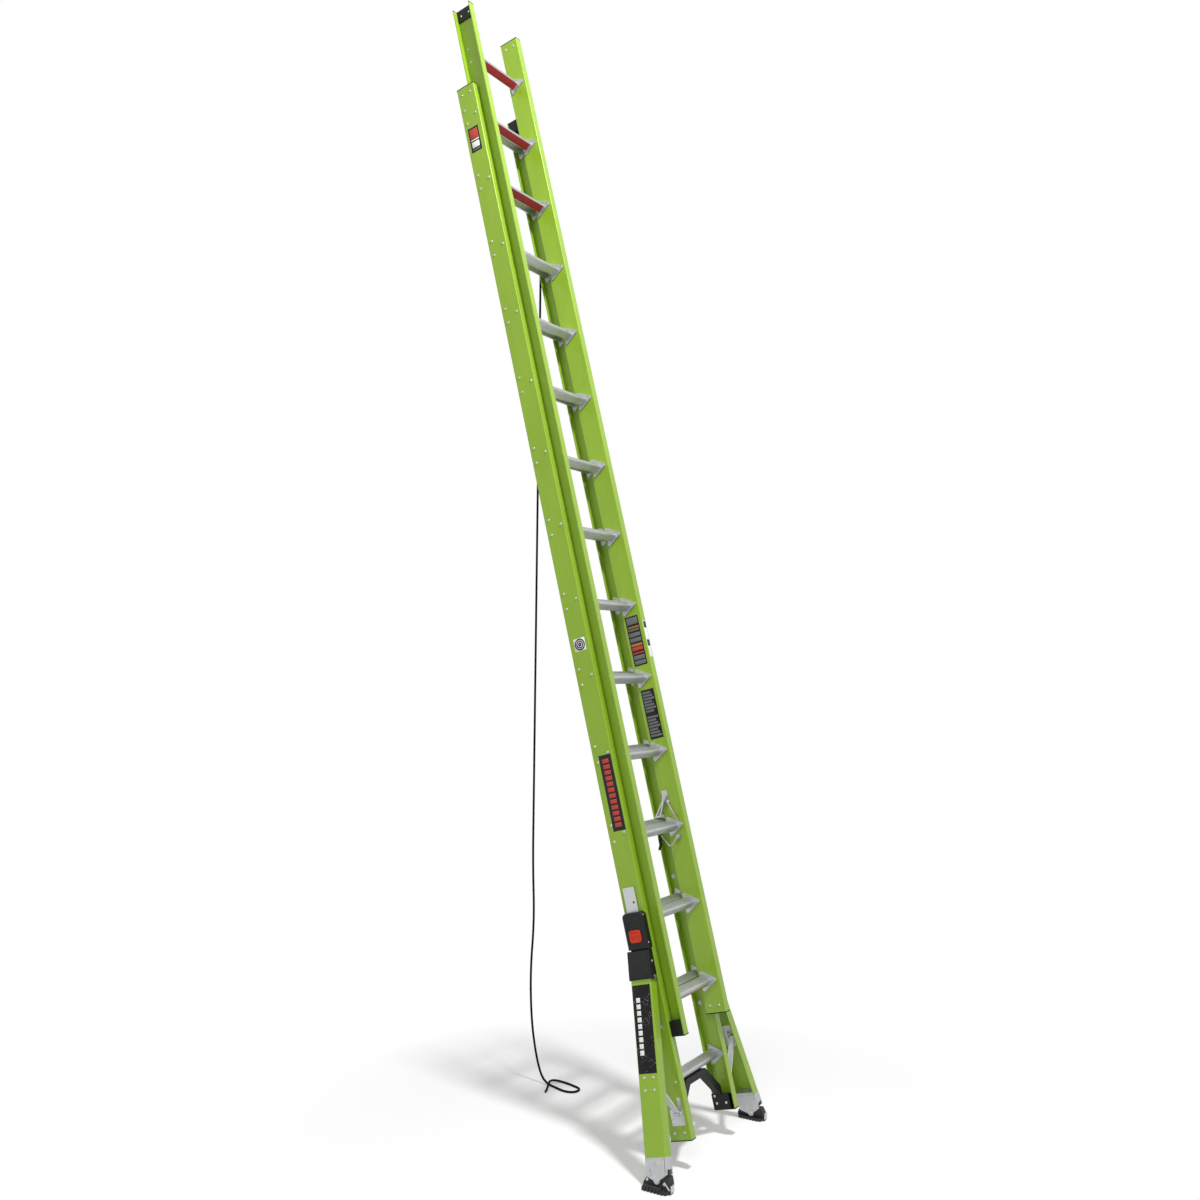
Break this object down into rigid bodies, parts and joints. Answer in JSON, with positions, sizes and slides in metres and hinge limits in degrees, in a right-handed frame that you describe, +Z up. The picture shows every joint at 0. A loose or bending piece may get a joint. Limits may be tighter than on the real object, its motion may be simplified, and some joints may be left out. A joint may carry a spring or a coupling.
{
  "type": "extension ladder",
  "caption": "Leaning two-section extension ladder with fibreglass channel rails, rung locks, rope and pulley, and folding outrigger legs with swivel shoes at the foot.",
  "frame": {"origin": "on the floor, midway between the two outrigger shoes", "axes": "+X to the climber's right, -Y towards the climber's side and +Y towards the wall, +Z up"},
  "size_m": [0.856, 1.2216, 4.6469],
  "materials": {
    "green": "glossy pultruded fibreglass",
    "alu": "mill-finish aluminium, satin",
    "cast": "rough cast aluminium",
    "steel": "zinc-plated, satin",
    "black": "moulded black plastic, satin",
    "rubber": "matte black rubber",
    "orange": "glossy moulded plastic",
    "rope": "braided black cord"
  },
  "bodies": {
    "base": {"base_rail_left": "green", "base_top_guide_left": "black", "base_bottom_plug_left": "black", "track_left": "alu", "strut_plate_left": "alu", "base_rail_right": "green", "base_top_guide_right": "black", "base_bottom_plug_right": "black", "track_right": "alu", "strut_plate_right": "alu", "base_rungs": "alu", "base_rivets": "steel", "bottom_brace": "black", "pulley_bracket": "steel", "rope_free": "rope", "rope_haul": "rope"},
    "fly": {"fly_rail_left": "green", "fly_top_plug_left": "black", "fly_bottom_guide_left": "black", "lock_bracket_left": "steel", "fly_rail_right": "green", "fly_top_plug_right": "black", "fly_bottom_guide_right": "black", "lock_bracket_right": "steel", "fly_rungs": "alu", "fly_rivets": "steel", "rope_anchor": "steel"},
    "pulley": {"pulley_wheel": "black"},
    "hook_left": {"lock_hook_left": "steel"},
    "latch_left": {"lock_wire_left": "steel", "lock_tongue_left": "black"},
    "slider_left": {"slider_left": "black"},
    "button_left": {"button_left": "orange"},
    "leg_left": {"leg_left": "green", "yoke_left": "black", "leg_pin_left": "steel", "leg_lug_left": "alu", "leg_rivets_left": "steel", "boot_left": "cast"},
    "shoe_left": {"shoe_left": "rubber", "shoe_pin_left": "steel", "shoe_spur_left": "steel"},
    "strut_left": {"strut_left": "alu"},
    "hook_right": {"lock_hook_right": "steel"},
    "latch_right": {"lock_wire_right": "steel", "lock_tongue_right": "black"},
    "slider_right": {"slider_right": "black"},
    "button_right": {"button_right": "orange"},
    "leg_right": {"leg_right": "green", "yoke_right": "black", "leg_pin_right": "steel", "leg_lug_right": "alu", "leg_rivets_right": "steel", "boot_right": "cast"},
    "shoe_right": {"shoe_right": "rubber", "shoe_pin_right": "steel", "shoe_spur_right": "steel"},
    "strut_right": {"strut_right": "alu"}
  },
  "joints": [
    {"name": "fly_slide", "type": "slide", "parent": "base", "child": "fly", "axis": [0, 0.2487, 0.9686], "range_m": [0, 2.7432], "deforming": ["rope_haul"]},
    {"name": "pulley_spin", "type": "hinge", "parent": "base", "child": "pulley", "pos_m": [0.206, 1.00211, 4.12471], "axis": [0, -0.9686, 0.2487], "continuous": true},
    {"name": "hook_left_swing", "type": "hinge", "parent": "fly", "child": "hook_left", "pos_m": [-0.139, 0.29526, 1.28322], "axis": [-1, 0, 0], "range_deg": [0, 26], "stiffness_Nm_per_rad": 0.6, "springref_deg": -20.05},
    {"name": "latch_left_swing", "type": "hinge", "parent": "fly", "child": "latch_left", "pos_m": [-0.139, 0.23078, 1.13665], "axis": [-1, 0, 0], "range_deg": [0, 65], "stiffness_Nm_per_rad": 0.15, "springref_deg": -22.92},
    {"name": "slider_left_slide", "type": "slide", "parent": "base", "child": "slider_left", "axis": [0, 0.2487, 0.9686], "range_m": [0, 0.04832]},
    {"name": "button_left_press", "type": "slide", "parent": "slider_left", "child": "button_left", "axis": [1, 0, 0], "range_m": [0, 0.005], "stiffness_N_per_m": 800, "springref_m": -0.003},
    {"name": "leg_left_fold", "type": "hinge", "parent": "slider_left", "child": "leg_left", "pos_m": [-0.222, 0.1771, 0.66622], "axis": [0, -0.9686, 0.2487], "range_deg": [0, 13.8]},
    {"name": "shoe_left_tilt", "type": "hinge", "parent": "leg_left", "child": "shoe_left", "pos_m": [-0.38782, 0.00931, 0.03927], "axis": [-0.9712, 0.0593, 0.2308], "range_deg": [-12, 12]},
    {"name": "strut_left_swing", "type": "hinge", "parent": "base", "child": "strut_left", "pos_m": [-0.213, 0.03977, 0.19972], "axis": [0, 0.9686, -0.2487], "range_deg": [0, 31.36]},
    {"name": "hook_right_swing", "type": "hinge", "parent": "fly", "child": "hook_right", "pos_m": [0.139, 0.29526, 1.28322], "axis": [-1, 0, 0], "range_deg": [0, 26], "stiffness_Nm_per_rad": 0.6, "springref_deg": -20.05},
    {"name": "latch_right_swing", "type": "hinge", "parent": "fly", "child": "latch_right", "pos_m": [0.139, 0.23078, 1.13665], "axis": [-1, 0, 0], "range_deg": [0, 65], "stiffness_Nm_per_rad": 0.15, "springref_deg": -22.92},
    {"name": "slider_right_slide", "type": "slide", "parent": "base", "child": "slider_right", "axis": [0, 0.2487, 0.9686], "range_m": [0, 0.04832]},
    {"name": "button_right_press", "type": "slide", "parent": "slider_right", "child": "button_right", "axis": [-1, 0, 0], "range_m": [0, 0.005], "stiffness_N_per_m": 800, "springref_m": -0.003},
    {"name": "leg_right_fold", "type": "hinge", "parent": "slider_right", "child": "leg_right", "pos_m": [0.222, 0.1771, 0.66622], "axis": [0, 0.9686, -0.2487], "range_deg": [0, 13.8]},
    {"name": "shoe_right_tilt", "type": "hinge", "parent": "leg_right", "child": "shoe_right", "pos_m": [0.38782, 0.00931, 0.03927], "axis": [0.9712, 0.0593, 0.2308], "range_deg": [-12, 12]},
    {"name": "strut_right_swing", "type": "hinge", "parent": "base", "child": "strut_right", "pos_m": [0.213, 0.03977, 0.19972], "axis": [0, -0.9686, 0.2487], "range_deg": [0, 31.36]}
  ],
  "couplings": [
    {"joint": "leg_left_fold", "follows": "slider_left_slide", "rad_per_m": 4.9792},
    {"joint": "strut_left_swing", "follows": "slider_left_slide", "rad_per_m": 11.319},
    {"joint": "leg_right_fold", "follows": "slider_right_slide", "rad_per_m": 4.9792},
    {"joint": "strut_right_swing", "follows": "slider_right_slide", "rad_per_m": 11.319}
  ]
}
